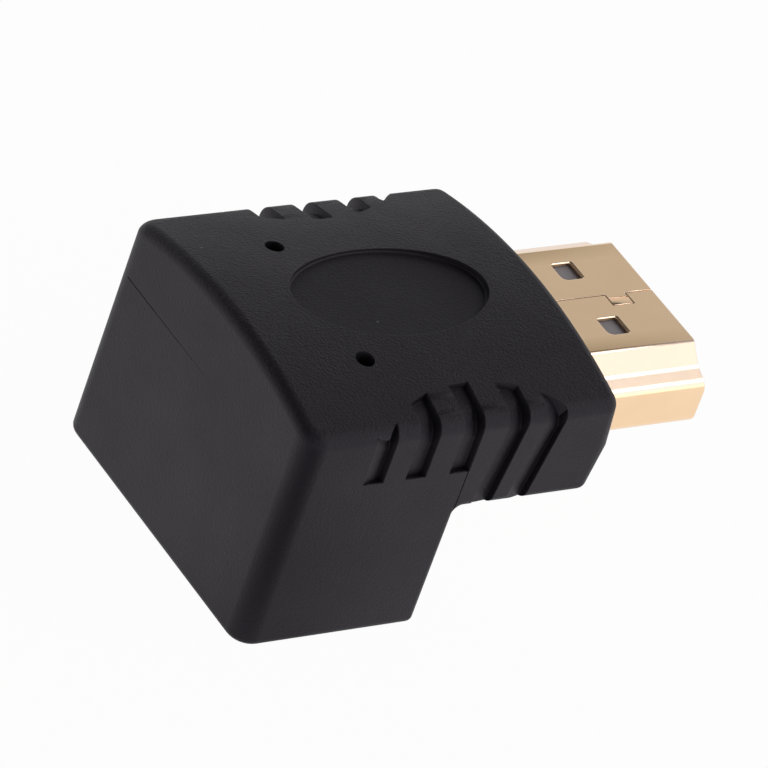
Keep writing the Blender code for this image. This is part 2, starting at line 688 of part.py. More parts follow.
def main():
    clear_scene()
    black = material("moulded_black", (0.035, 0.033, 0.036), 0.6, 0.0)
    gold = material("gold_plate", (0.85, 0.62, 0.33), 0.22, 1.0)
    resin = material("insulator_resin", (0.05, 0.055, 0.065), 0.45, 0.0)
    natural = material("inner_mould_resin", (0.55, 0.53, 0.48), 0.5, 0.0)
    laminate = material("board_laminate", (0.02, 0.16, 0.06), 0.35, 0.0)
    make_body(black)
    make_inner_mould(natural)
    make_board(laminate)
    make_plug_shell(gold)
    make_plug_insulator(resin)
    make_plug_contacts(gold)
    make_socket_shell(gold)
    make_socket_insulator(resin)
    make_socket_contacts(gold)


main()
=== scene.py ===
# %% [markdown]
# # A right-angle video adapter
#
# This lesson dresses a small connector: a black moulded elbow with a gold-plated plug on its arm and a socket
# in the end of its leg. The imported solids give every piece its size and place, so nothing here is measured
# twice: the script loads them as a fixed frame, models finer pieces round them and paints everything.

# %% Load the frame
import math

import bmesh
import bpy
from mathutils import Matrix, Vector


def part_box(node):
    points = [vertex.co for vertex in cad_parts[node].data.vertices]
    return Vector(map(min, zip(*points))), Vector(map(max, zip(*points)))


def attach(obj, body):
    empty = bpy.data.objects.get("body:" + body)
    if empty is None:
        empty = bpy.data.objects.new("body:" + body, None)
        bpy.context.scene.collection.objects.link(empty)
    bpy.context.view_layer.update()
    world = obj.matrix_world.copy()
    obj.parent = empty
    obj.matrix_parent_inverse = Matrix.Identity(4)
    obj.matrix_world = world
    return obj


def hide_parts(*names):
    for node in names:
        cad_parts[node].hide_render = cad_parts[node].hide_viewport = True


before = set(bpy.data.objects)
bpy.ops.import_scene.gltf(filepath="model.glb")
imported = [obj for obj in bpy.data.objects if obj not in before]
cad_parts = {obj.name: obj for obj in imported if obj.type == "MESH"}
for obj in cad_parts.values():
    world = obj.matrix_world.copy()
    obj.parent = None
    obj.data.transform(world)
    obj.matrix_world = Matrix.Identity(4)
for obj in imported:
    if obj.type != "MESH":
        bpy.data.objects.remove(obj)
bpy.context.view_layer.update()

MM = 0.001

# %% [markdown]
# ## The camera
#
# The picture was taken with a long lens from about 40 cm away, which keeps far edges almost parallel to near
# ones. The camera was held tilted, so its three directions are written out here as they were worked out from
# the edges of the adapter in the picture. A camera looks along its own minus Z, with X to the right and Y up,
# so the three directions become the columns of its rotation.

# %% The camera
CAMERA_PLACE = Vector((-228.04, -240.88, 232.0)) * MM
PICTURE_RIGHT = Vector((0.8170, -0.4991, 0.2887))
PICTURE_DOWN = Vector((-0.1046, -0.6206, -0.7771))
FOCAL_LENGTH_IN_WIDTHS = 9.0534

stage = bpy.context.scene
camera_data = bpy.data.cameras.new("camera")
camera = bpy.data.objects.new("camera", camera_data)
stage.collection.objects.link(camera)
right = PICTURE_RIGHT.normalized()
towards_viewer = right.cross(-PICTURE_DOWN).normalized()
up = towards_viewer.cross(right)
turn = Matrix((right, up, towards_viewer)).transposed()
camera.matrix_world = Matrix.Translation(CAMERA_PLACE) @ turn.to_4x4()
camera_data.lens = FOCAL_LENGTH_IN_WIDTHS * camera_data.sensor_width
camera_data.clip_start = 0.01
stage.camera = camera
print("camera looks along", [round(c, 3) for c in -towards_viewer])

# %% [markdown]
# ## Helpers for working by hand
#
# Blender's operators act on whatever is selected. These helpers make that safe in a script: `choose` makes
# one object the only selected one, and `pick` goes into edit mode and selects exactly the vertices, edges or
# faces that a test accepts, as a click would.


# %% Choosing and picking
def choose(obj):
    if bpy.context.mode != "OBJECT":
        bpy.ops.object.mode_set(mode="OBJECT")
    bpy.ops.object.select_all(action="DESELECT")
    obj.select_set(True)
    bpy.context.view_layer.objects.active = obj
    return obj


def pick(obj, kind, wanted):
    """Opens the object in edit mode with only the wanted elements selected. Returns how many there are."""
    choose(obj)
    bpy.ops.object.mode_set(mode="EDIT")
    bpy.ops.mesh.select_mode(type=kind)
    bpy.ops.mesh.select_all(action="DESELECT")
    mesh = bmesh.from_edit_mesh(obj.data)
    mesh.normal_update()
    elements = {"VERT": mesh.verts, "EDGE": mesh.edges, "FACE": mesh.faces}[kind]
    found = [element for element in elements if wanted(element)]
    for element in found:
        element.select_set(True)
    mesh.select_flush_mode()
    bmesh.update_edit_mesh(obj.data)
    return len(found)


# %% [markdown]
# The next helpers start and finish shapes. A block is a cube primitive stretched to two corners. A loft is a
# closed solid through rings of points, which suits cutters that follow a curved surface. A cut is a Boolean
# that is applied at once, and takes its cutter with it.


# %% Starting and cutting shapes
def block(name, low, high):
    bpy.ops.object.select_all(action="DESELECT")
    low = Vector(low)
    high = Vector(high)
    bpy.ops.mesh.primitive_cube_add(size=1, location=(low + high) / 2)
    made = bpy.context.object
    made.name = name
    made.scale = high - low
    bpy.ops.object.transform_apply(location=True, rotation=True, scale=True)
    return made


def mesh_object(name, points, edges, faces):
    mesh = bpy.data.meshes.new(name)
    mesh.from_pydata(points, edges, faces)
    made = bpy.data.objects.new(name, mesh)
    stage.collection.objects.link(made)
    return made


def loft(name, rings):
    """A closed solid through rings that have the same number of points."""
    size = len(rings[0])
    points = [point for ring in rings for point in ring]
    faces = [tuple(range(size)), tuple(range(len(points) - size, len(points)))]
    for start in range(0, len(points) - size, size):
        for i in range(size):
            j = (i + 1) % size
            faces.append((start + i, start + j, start + size + j, start + size + i))
    made = mesh_object(name, points, [], faces)
    pick(made, "FACE", lambda face: True)
    bpy.ops.mesh.normals_make_consistent(inside=False)
    return choose(made)


def apply_modifier(piece, kind, **settings):
    choose(piece)
    modifier = piece.modifiers.new(kind.lower(), kind)
    for name, value in settings.items():
        setattr(modifier, name, value)
    bpy.ops.object.modifier_apply(modifier=modifier.name)
    return piece


def cut(piece, cutter, operation="DIFFERENCE"):
    apply_modifier(piece, "BOOLEAN", operation=operation, object=cutter)
    bpy.data.objects.remove(cutter, do_unlink=True)


# %% [markdown]
# Smooth shading alone makes large flat faces look dented beside small round ones. A Weighted Normal modifier
# lets the large faces win, so the flats stay flat and only the roundings turn.


# %% Shading and handing over a piece
SMOOTH_ANGLE = math.radians(32)


def smooth(piece):
    choose(piece)
    bpy.ops.object.shade_smooth_by_angle(angle=SMOOTH_ANGLE)
    apply_modifier(piece, "WEIGHTED_NORMAL", keep_sharp=True)


def hand_over(piece, finish, slot, *nodes):
    """The piece gets its finish, rides with the solids and stands for those it replaces."""
    piece.data.materials.clear()
    piece.data.materials.append(finish)
    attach(piece, "root")
    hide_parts(*nodes)
    print(piece.name, len(piece.data.polygons), "faces, for", ", ".join(nodes))


# %% [markdown]
# ## The shape of the plug
#
# Plug and socket share one outline: a flat box with its two upper corners folded in. It is drawn once, as
# eight corners with their radii, and the other outlines are that one grown: the socket's shell and the holes
# in the moulding. Growing an outline moves each side out by the same distance, so the gaps between the
# pieces stay even round every bend.

# %% The shared outline
PLUG_WIDTH = 13.9 * MM
PLUG_HEIGHT = 4.45 * MM
HALF_OUTLINE = [
    (4.65 * MM, 0.0, 0.35 * MM),
    (5.75 * MM, 1.1 * MM, 0.9 * MM),
    (PLUG_WIDTH / 2, 1.62 * MM, 0.85 * MM),
    (PLUG_WIDTH / 2, PLUG_HEIGHT, 0.65 * MM),
]
ARC_STEPS = 8
SMALLEST_RADIUS = 0.03 * MM


def outline(grow=0.0):
    """The plug's outline as (across, below the narrow face) points, grown all round."""
    corners = HALF_OUTLINE + [(-u, v, radius) for u, v, radius in reversed(HALF_OUTLINE)]
    points = []
    for i, (u, v, radius) in enumerate(corners):
        here = Vector((u, v))
        arriving = (here - Vector(corners[i - 1][:2])).normalized()
        leaving = (Vector(corners[(i + 1) % len(corners)][:2]) - here).normalized()
        out_in = Vector((arriving.y, -arriving.x))
        out_out = Vector((leaving.y, -leaving.x))
        corner = here + (out_in + out_out) * (grow / (1 + out_in.dot(out_out)))
        convex = arriving.cross(leaving) > 0
        arc = max(radius + grow if convex else radius - grow, SMALLEST_RADIUS)
        half = (math.pi - arriving.angle(leaving)) / 2
        centre = corner + (leaving - arriving).normalized() * (arc / math.sin(half))
        first = corner - arriving * (arc / math.tan(half)) - centre
        last = corner + leaving * (arc / math.tan(half)) - centre
        start = math.atan2(first.y, first.x)
        sweep = (math.atan2(last.y, last.x) - start + math.pi) % (2 * math.pi) - math.pi
        for step in range(ARC_STEPS + 1):
            angle = start + sweep * step / ARC_STEPS
            points.append((centre.x + arc * math.cos(angle), centre.y + arc * math.sin(angle)))
    return points


plug_low, plug_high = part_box("plug_shell")
socket_low, socket_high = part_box("socket_shell")
NARROW_FACE = plug_high.z
WIDE_FACE = plug_low.z
SOCKET_SHEET = 0.3 * MM
SOCKET_CLEARANCE = 0.05 * MM
SOCKET_BACK = socket_low.x + SOCKET_SHEET + SOCKET_CLEARANCE


def across_plug(x, grow):
    return [(x, u, NARROW_FACE - v) for u, v in outline(grow)]


def across_socket(z, grow):
    return [(SOCKET_BACK + v, u, z) for u, v in outline(grow)]


print("outline of", len(outline()), "points")

# %% [markdown]
# ## The black moulding: the block
#
# The real body is soft black plastic, moulded round everything else in one shot. Its block is an L, so it
# starts as a cube the size of the arm, sliced where the leg begins, with the piece behind the slice pulled
# down to the floor. Bevels then round the edges: the elbow first, then the upright corners, and the other
# level edges last, because a bevel that runs round an already rounded corner stays even.

# %% The L and its round edges
body_low, body_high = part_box("body")
LEG_THICKNESS = 12.16 * MM
ARM_THICKNESS = 7.92 * MM
ELBOW_FILLET = 0.5 * MM
BACK_CORNER = 1.39 * MM
FRONT_CORNER = 0.84 * MM
UNDERSIDE_EDGE = 0.48 * MM
TOP_EDGE = 0.78 * MM
FOOT_EDGE = 0.5 * MM
EDGE_STEPS = 8
SHARP_FOLD = math.radians(40)
FLAT_FOLD = math.radians(1)
TOUCH = 0.002 * MM

leg_front = body_low.x + LEG_THICKNESS
arm_bottom = body_high.z - ARM_THICKNESS
side = body_high.y

moulding = block("moulding", (body_low.x, -side, arm_bottom), body_high)
pick(moulding, "FACE", lambda face: True)
bpy.ops.mesh.bisect(plane_co=(leg_front, 0, 0), plane_no=(1, 0, 0))
pick(moulding, "FACE", lambda face: face.normal.z < -0.5 and face.calc_center_median().x < leg_front)
bpy.ops.mesh.extrude_region_move(TRANSFORM_OT_translate={"value": (0, 0, -arm_bottom)})
pick(moulding, "FACE", lambda face: True)
bpy.ops.mesh.dissolve_limited(angle_limit=FLAT_FOLD)


def near(a, b):
    return abs(a - b) < TOUCH


def round_edges(radius, wanted):
    """Bevels the edges of the moulding that fold sharply and whose two ends are wanted."""

    def folded(edge):
        return edge.calc_face_angle(0) > SHARP_FOLD and wanted(*[v.co for v in edge.verts])

    count = pick(moulding, "EDGE", folded)
    bpy.ops.mesh.bevel(
        offset=radius, segments=EDGE_STEPS, profile=0.5, affect="EDGES", clamp_overlap=False, loop_slide=False
    )
    print("rounded", count, "edges by", round(radius / MM, 2), "mm")


def in_elbow(a, b):
    return near(a.x, leg_front) and near(b.x, leg_front) and near(a.z + b.z, 2 * arm_bottom)


def upright_at(x):
    return lambda a, b: near(a.x, x) and near(b.x, x) and near(a.y, b.y)


def level_at(z):
    return lambda a, b: near(a.z + b.z, 2 * z)


def under_arm(a, b):
    return min(a.x, b.x) > leg_front - TOUCH and max(a.z, b.z) < arm_bottom + TOUCH and max(a.z, b.z) > TOUCH


round_edges(ELBOW_FILLET, in_elbow)
round_edges(BACK_CORNER, upright_at(body_low.x))
round_edges(FRONT_CORNER, upright_at(body_high.x))
round_edges(UNDERSIDE_EDGE, under_arm)
round_edges(TOP_EDGE, level_at(body_high.z))
round_edges(FOOT_EDGE, level_at(0))

# %% [markdown]
# The top is not flat: it is crowned, highest along the middle and 1.5 mm lower at the sides. The block is
# sliced into strips along its length above the parting line, and each vertex then drops by more the farther
# it lies from the middle. The front face stands out most at the parting line, where the two halves of the
# steel mould met, and leans back above and below it, so that the moulding came out of both halves without
# sticking. The lower half also starts a hair further in.

# %% The crowned top and the leaning front
CROWN = 1.53 * MM
STRIPS = 36
LEAN_ABOVE = math.radians(6.0)
LEAN_BELOW = math.radians(9.0)
PARTING_STEP = 0.05 * MM

parting = (NARROW_FACE + WIDE_FACE) / 2
crown_from = body_high.z - 2 * TOP_EDGE
pick(moulding, "FACE", lambda face: True)
bpy.ops.mesh.bisect(plane_co=(0, 0, parting), plane_no=(0, 0, 1))
pick(moulding, "FACE", lambda face: True)
bpy.ops.mesh.bisect(plane_co=(0, 0, parting - PARTING_STEP), plane_no=(0, 0, 1))
for strip in range(1, STRIPS):
    pick(moulding, "FACE", lambda face: face.calc_center_median().z > parting)
    bpy.ops.mesh.bisect(plane_co=(0, side * (2 * strip / STRIPS - 1), 0), plane_no=(0, 1, 0))
choose(moulding)


def crowned(y, z):
    """How high a point lies once the top has been crowned."""
    share = min(max((z - parting) / (crown_from - parting), 0), 1)
    return z - CROWN * (y / side) ** 2 * share


def front_reach(z):
    """How far the front face stands out from its place at the top edge."""
    widest = math.tan(LEAN_ABOVE) * (crown_from - parting)
    if z > parting - TOUCH:
        return math.tan(LEAN_ABOVE) * max(crown_from - z, 0)
    return widest - PARTING_STEP - math.tan(LEAN_BELOW) * (parting - z)


lean_from = body_high.x - 2 * FRONT_CORNER
for vertex in moulding.data.vertices:
    x, y, z = vertex.co
    share = max((x - lean_from) / (body_high.x - lean_from), 0)
    vertex.co.x = x + share * front_reach(z)
    vertex.co.z = crowned(y, z)
print("moulding block", len(moulding.data.polygons), "faces")

# %% [markdown]
# ## The moulding: the room inside
#
# The moulding is hollow where the pale inner mould, the plug and the socket sit. The hole for the plug and
# the mouth for the socket widen by a hair at the surface, as the soft plastic does where it leaves the steel.

# %% The room inside
FIT_GAP = 0.05 * MM
LIP = 0.07 * MM
OVERSHOOT = 1.0 * MM

inner_low, inner_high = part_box("inner_mould")
gap = Vector((FIT_GAP, FIT_GAP, FIT_GAP))
cut(moulding, block("inner_room", inner_low - gap, inner_high + gap))
mouth = body_high.x + front_reach(parting) / 2
plug_room = [
    across_plug(inner_high.x - FIT_GAP, FIT_GAP),
    across_plug(mouth - LIP, FIT_GAP),
    across_plug(mouth + LIP, FIT_GAP + 2 * LIP),
    across_plug(mouth + OVERSHOOT, FIT_GAP + 2 * LIP),
]
cut(moulding, loft("plug_room", plug_room))
socket_grow = SOCKET_CLEARANCE + SOCKET_SHEET + FIT_GAP
socket_room = [
    across_socket(-OVERSHOOT, socket_grow + 3 * LIP),
    across_socket(-LIP, socket_grow + 3 * LIP),
    across_socket(2 * LIP, socket_grow),
    across_socket(inner_low.z + FIT_GAP, socket_grow),
]
cut(moulding, loft("socket_room", socket_room))
print("hollowed", len(moulding.data.polygons), "faces")

# %% [markdown]
# ## The moulding: the grip
#
# Five grooves on each side give the fingers a hold. The tops of the grooves follow one arc across the crowned
# face, each a little shifted along it, and their floors turn the corner in a wider bend than the body does.
# Each groove starts with a step, lowest on the outer two, sinks along a ramp and ends at a steep wall towards
# the plug. Like the front face, the two foremost grooves lean back below the parting line. A straight cutter
# can't do all this, so each cutter is a loft: a row of slices along the adapter, and each slice is the body's
# own outline moved in by the groove's depth at that place. Slices of small depth at both ends round its rims.

# %% The grip grooves
GROOVE_RIMS = (6.08 * MM, 8.98 * MM, 12.0 * MM, 15.12 * MM, 17.74 * MM)
ARC_SHIFTS = (0.04, 0.03, 0.04, 0.12, 0.14)
LEANS = (0.0, 0.0, 0.0, 0.2, 0.27)
GROOVES_TO_PARTING = 3
GROOVE_WIDTH = 1.32 * MM
GROOVE_STEPS = (0.1 * MM, 0.3 * MM, 0.3 * MM, 0.3 * MM, 0.1 * MM)
GROOVE_DEPTH = 0.42 * MM
GROOVE_CORNER = 1.3 * MM
GROOVE_WALL = 0.08 * MM
GROOVE_ROOT = 0.05 * MM
FLOOR_SLICES = 6
LEDGE_BELOW_PARTING = 0.35 * MM
GRIP_REACH = 2.7 * MM
GRIP_ARC = 8.1 * MM
GRIP_ARC_FROM_BACK = 11.3 * MM
GRIP_MARGIN = 0.14 * MM
PROUD = 0.02 * MM
RIM = 0.06 * MM
FLOOR_POINTS = 18


def grip_reach(x):
    """How far from the middle a groove starts on the top face."""
    along = min(abs(x - body_low.x - GRIP_ARC_FROM_BACK), 0.99 * GRIP_ARC)
    reach = side - GRIP_REACH + GRIP_ARC - math.sqrt(GRIP_ARC**2 - along**2)
    return min(reach, side - GRIP_MARGIN)


def floor_line(reach, depth):
    """Even points on the body's outline moved in by the depth, from the reach out to the side face."""
    deep = min(max(depth / GROOVE_DEPTH, 0), 1)
    radius = TOP_EDGE - depth + (GROOVE_CORNER - TOP_EDGE + GROOVE_DEPTH) * deep
    centre_y = side - depth - radius
    centre_z = body_high.z - depth - radius
    flat = max(centre_y - reach, 0)
    first = math.acos(min(max((reach - centre_y) / radius, 0), 1))
    length = flat + radius * first
    points = []
    for step in range(FLOOR_POINTS + 1):
        gone = length * step / FLOOR_POINTS
        if gone < flat:
            points.append((reach + gone, centre_z + radius))
        else:
            angle = first - (gone - flat) / radius
            points.append((centre_y + radius * math.cos(angle), centre_z + radius * math.sin(angle)))
    return points


def groove_slice(x, depth, end_z, hand, arc_shift, lean):
    """The body's outline moved in by the depth, closed well outside the body, with softened ends."""
    top = body_high.z
    reach = grip_reach(x - arc_shift * (top - parting))
    proud = 1.5 * PROUD
    rim = max((proud - depth) / 2, -RIM)
    on_rounding = max(reach - (side - TOP_EDGE), 0) / TOP_EDGE
    floor = floor_line(reach - max(depth, 0) * on_rounding, depth)
    points = [(reach - RIM, top + OVERSHOOT)]
    for y, above in ((reach - RIM, proud), (reach, rim)):
        points.append((y, crowned(y, floor_line(y, -above)[0][1])))
    points += [(y, crowned(y, z)) for y, z in floor]
    points += [(side - depth, end_z), (side + rim, end_z), (side + proud, end_z - RIM)]
    points += [(side + OVERSHOOT, end_z - RIM), (side + OVERSHOOT, top + OVERSHOOT)]
    return [(x - lean * max(parting - z, 0), hand * y, z) for y, z in points]


rim_steps = [(-1.5 * RIM, -PROUD), (-0.5 * RIM, 0.3 * RIM), (0, 1.2 * RIM)]
for index, rim_place in enumerate(GROOVE_RIMS):
    wall = body_low.x + rim_place
    start = wall - GROOVE_WIDTH
    slices = [(start + away, depth) for away, depth in rim_steps]
    ramp_start = start + GROOVE_WALL
    ramp_end = wall - GROOVE_WALL - GROOVE_ROOT
    for step in range(FLOOR_SLICES + 1):
        share = step / FLOOR_SLICES
        depth = GROOVE_STEPS[index] + (GROOVE_DEPTH - GROOVE_STEPS[index]) * share
        slices.append((ramp_start + (ramp_end - ramp_start) * share, depth))
    slices.append((ramp_end + 0.7 * GROOVE_ROOT, GROOVE_DEPTH - 0.3 * GROOVE_ROOT))
    slices.append((ramp_end + GROOVE_ROOT, GROOVE_DEPTH - GROOVE_ROOT))
    slices += [(wall - away, depth) for away, depth in reversed(rim_steps)]
    end_z = parting - LEDGE_BELOW_PARTING
    if index >= GROOVES_TO_PARTING:
        end_z = arm_bottom - OVERSHOOT
    for hand in (-1, 1):
        shape = (end_z, hand, ARC_SHIFTS[index], LEANS[index])
        cut(moulding, loft("groove", [groove_slice(x, depth, *shape) for x, depth in slices]))
print("grooved", len(moulding.data.polygons), "faces")

# %% [markdown]
# ## The moulding: recess, pin holes and mould lines
#
# The top has a shallow oval recess with a flat floor, and two round holes where steel pins held the insides
# in the middle of the mould. Their cutters also follow the crown, so that every rim is softened by the same
# amount. Thin grooves less than a tenth of a millimetre deep stand for the lines that the halves of the mould
# leave: one across the back, which fades out, and a short upright one below the grip on each side.

# %% The recess and the pin holes
OVAL_HALF_LENGTH = 6.5 * MM
OVAL_HALF_WIDTH = 3.85 * MM
OVAL_DEPTH = 0.42 * MM
OVAL_FROM_BACK = 11.08 * MM
OVAL_STEPS = 120
OVAL_RIM = 0.05 * MM
OVAL_FOOT = 0.13 * MM
PIN_RADIUS = 0.58 * MM
PIN_FROM_BACK = 6.35 * MM
PIN_SIDE = 5.15 * MM
PIN_STEPS = 40
PIN_RIM = 0.03 * MM


def sunk_ring(centre, half_x, half_y, steps, height):
    """An oval of points, each at the height that a function gives for its place across the top."""
    ring = []
    for step in range(steps):
        angle = 2 * math.pi * step / steps
        y = centre[1] + half_y * math.sin(angle)
        ring.append((centre[0] + half_x * math.cos(angle), y, height(y)))
    return ring


def sink(name, centre, half_x, half_y, steps, floor, rim, foot):
    """Cuts an upright oval hole into the crowned top, softened at its rim and at the foot of its wall."""
    top = body_high.z
    levels = [
        (-foot, lambda y: floor),
        (-0.6 * foot, lambda y: floor + 0.08 * foot),
        (-0.3 * foot, lambda y: floor + 0.3 * foot),
        (-0.08 * foot, lambda y: floor + 0.6 * foot),
        (0, lambda y: floor + foot),
        (0, lambda y: crowned(y, top) - rim),
        (0.3 * rim, lambda y: crowned(y, top) - 0.3 * rim),
        (rim, lambda y: crowned(y, top) + 0.3 * PROUD),
        (rim, lambda y: top + OVERSHOOT),
    ]
    rings = [sunk_ring(centre, half_x + grow, half_y + grow, steps, height) for grow, height in levels]
    cut(moulding, loft(name, rings))


oval_centre = (body_low.x + OVAL_FROM_BACK, 0)
oval_floor = body_high.z - OVAL_DEPTH
sink("oval", oval_centre, OVAL_HALF_LENGTH, OVAL_HALF_WIDTH, OVAL_STEPS, oval_floor, OVAL_RIM, OVAL_FOOT)
pin_floor = inner_high.z - PROUD
for hand in (-1, 1):
    centre = (body_low.x + PIN_FROM_BACK, hand * PIN_SIDE)
    sink("pin_hole", centre, PIN_RADIUS, PIN_RADIUS, PIN_STEPS, pin_floor, PIN_RIM, PIN_RIM)
print("recessed", len(moulding.data.polygons), "faces")

# %% The mould lines
LINE_WIDTH = 0.1 * MM
LINE_DEPTH = 0.07 * MM
BACK_LINE_ENDS = (9.0 * MM, -1.4 * MM)
SIDE_LINE_FROM_BACK = 11.98 * MM
SIDE_LINE_ENDS = (parting - LEDGE_BELOW_PARTING, arm_bottom - 0.7 * MM)


def v_line(name, ends, across, out, shares):
    """Cuts a thin V-shaped line between two points on the surface, as deep at each end as its share."""
    rings = []
    for place, share in zip(ends, shares):
        place = Vector(place)
        half = Vector(across) * LINE_WIDTH / 2 * share
        deep = -Vector(out) * LINE_DEPTH * share
        raised = Vector(out) * PROUD
        rings.append([place + half + raised, place + deep, place - half + raised])
    cut(moulding, loft(name, rings))


back_ends = [(body_low.x, y, parting) for y in BACK_LINE_ENDS]
v_line("back_line", back_ends, (0, 0, 1), (-1, 0, 0), (1.0, 0.1))
for hand in (-1, 1):
    side_ends = [(body_low.x + SIDE_LINE_FROM_BACK, hand * side, z) for z in SIDE_LINE_ENDS]
    v_line("side_line", side_ends, (1, 0, 0), (0, hand, 0), (1.0, 1.0))
smooth(moulding)
print("moulding", len(moulding.data.polygons), "faces")

# %% [markdown]
# ## The gold-plated sleeve
#
# The plug's shell is one strip of sheet, folded round until its edges meet in the middle of the narrow face.
# It is modelled the same way: one ring of edges, extruded along the plug into a skin, and a Solidify modifier
# gives the skin the sheet's thickness inwards. The seam and the latch windows are then cut through it, and a
# bevel rounds every sheared edge. Those roundings are what catches the light along the seam.

# %% A folded sleeve
PLUG_SHEET = 0.25 * MM
SHEARED_EDGE = 0.045 * MM
BEVEL_ANGLE = math.radians(50)


def sleeve(name, ring, along, sheet):
    """A skin extruded from a closed ring, thickened inwards."""
    size = len(ring)
    made = mesh_object(name, ring, [(i, (i + 1) % size) for i in range(size)], [])
    pick(made, "EDGE", lambda edge: True)
    bpy.ops.mesh.extrude_region_move(TRANSFORM_OT_translate={"value": along})
    pick(made, "FACE", lambda face: True)
    bpy.ops.mesh.normals_make_consistent(inside=False)
    return apply_modifier(made, "SOLIDIFY", thickness=sheet, offset=-1, use_even_offset=True)


def round_sheared_edges(piece, width=SHEARED_EDGE):
    sharp_only = {"limit_method": "ANGLE", "angle_limit": BEVEL_ANGLE}
    apply_modifier(piece, "BEVEL", width=width, segments=3, use_clamp_overlap=False, **sharp_only)


plug_sleeve = sleeve("plug_sleeve", across_plug(plug_low.x, 0), (plug_high.x - plug_low.x, 0, 0), PLUG_SHEET)
print("plug sleeve", len(plug_sleeve.data.polygons), "faces")

# %% [markdown]
# The seam steps sideways round a small tab, which locks the two edges together. The press that set the tab
# left a second fine line across its root, a few hundredths of a millimetre deep. Each latch window has three
# sharp corners and one round one, as in the picture.

# %% The seam, its tab and the windows
SEAM_GAP = 0.05 * MM
SEAM_SIDE = 0.12 * MM
TAB_START = plug_high.x - 3.43 * MM
TAB_END = plug_high.x - 1.93 * MM
TAB_SIDE = -0.88 * MM
TAB_CREASE = -0.24 * MM
CREASE_WIDTH = 0.06 * MM
CREASE_DEPTH = 0.04 * MM
WINDOW_LENGTH = 1.42 * MM
WINDOW_WIDTH = 1.46 * MM
WINDOW_SPACING = 5.15 * MM
WINDOW_FROM_TIP = 4.55 * MM
WINDOW_ROUND = 0.4 * MM
WINDOW_SHARP = 0.1 * MM
WINDOW_EDGE = 0.11 * MM
WINDOW_EDGE_STEPS = 4

through = (NARROW_FACE - 2 * PLUG_SHEET, NARROW_FACE + OVERSHOOT)


def slit(low, high):
    cut(plug_sleeve, block("slit", (*low, through[0]), (*high, through[1])))


half_gap = SEAM_GAP / 2
seam = (SEAM_SIDE - half_gap, SEAM_SIDE + half_gap)
tab = (TAB_SIDE - half_gap, TAB_SIDE + half_gap)
slit((plug_low.x - OVERSHOOT, seam[0]), (TAB_START + half_gap, seam[1]))
slit((TAB_START - half_gap / 2, tab[0]), (TAB_START + half_gap / 2, seam[1]))
slit((TAB_START - half_gap / 2, tab[0]), (TAB_END + half_gap, tab[1]))
slit((TAB_END - half_gap, tab[0]), (TAB_END + half_gap, seam[1]))
slit((TAB_END - half_gap, seam[0]), (plug_high.x + OVERSHOOT, seam[1]))
crease_low = (TAB_START + 2 * SEAM_GAP, TAB_CREASE - CREASE_WIDTH / 2, NARROW_FACE - CREASE_DEPTH)
crease_high = (TAB_END - 2 * SEAM_GAP, TAB_CREASE + CREASE_WIDTH / 2, NARROW_FACE + OVERSHOOT)
cut(plug_sleeve, block("tab_crease", crease_low, crease_high))


def window_ring(middle_y, z, grow=0.0):
    """The window's outline, with its rounder corner nearest the moulding's near side."""
    middle_x = plug_high.x - WINDOW_FROM_TIP
    corners = [(-1, -1, WINDOW_ROUND), (1, -1, WINDOW_SHARP), (1, 1, WINDOW_SHARP), (-1, 1, WINDOW_SHARP)]
    ring = []
    for sign_x, sign_y, radius in corners:
        centre_x = middle_x + sign_x * (WINDOW_LENGTH / 2 - radius)
        centre_y = middle_y + sign_y * (WINDOW_WIDTH / 2 - radius)
        radius = radius + grow
        first = math.atan2(sign_y, sign_x) - math.pi / 4
        for step in range(ARC_STEPS + 1):
            angle = first + math.pi / 2 * step / ARC_STEPS
            ring.append((centre_x + radius * math.cos(angle), centre_y + radius * math.sin(angle), z))
    return ring


window_levels = [(2 * PLUG_SHEET, 0)]
for step in range(WINDOW_EDGE_STEPS + 1):
    turn = math.pi / 2 * step / WINDOW_EDGE_STEPS
    window_levels.append((WINDOW_EDGE * (1 - math.sin(turn)), WINDOW_EDGE * (1 - math.cos(turn))))
window_levels += [(-TOUCH, WINDOW_EDGE + TOUCH), (-OVERSHOOT, WINDOW_EDGE + TOUCH)]
for hand in (-1, 1):
    for face_z, inward in ((NARROW_FACE, -1), (WIDE_FACE, 1)):
        middle = hand * WINDOW_SPACING / 2
        rings = [window_ring(middle, face_z + inward * sunk, grow) for sunk, grow in window_levels]
        cut(plug_sleeve, loft("window", rings))
round_sheared_edges(plug_sleeve)
smooth(plug_sleeve)
print("plug sleeve with seam and windows", len(plug_sleeve.data.polygons), "faces")

# %% [markdown]
# ## The socket's sleeve
#
# The socket's shell is the same fold, turned to look down the leg. Four springs are cut out of its two wide
# faces and bent inwards, so that they grip a plug. Each spring is a ribbon: one edge, extruded once for every
# stretch of its path, then thickened.

# %% The socket's sleeve and its springs
SPRING_WIDTH = 1.3 * MM
SPRING_LENGTH = 4.2 * MM
SPRING_SHEET = 0.22 * MM
SPRING_BEND = 0.4 * MM
SPRING_NOSE = 0.9 * MM
SPRING_SPACING = 6.2 * MM
SPRING_FROM_MOUTH = 1.6 * MM
SPRING_SLIT = 0.25 * MM
SPRING_ROOT = 0.4 * MM

socket_sleeve = sleeve(
    "socket_sleeve",
    across_socket(socket_low.z, SOCKET_CLEARANCE + SOCKET_SHEET),
    (0, 0, socket_high.z - socket_low.z),
    SOCKET_SHEET,
)
spring_low = socket_low.z + SPRING_FROM_MOUTH
spring_root = spring_low + SPRING_LENGTH
springs = []


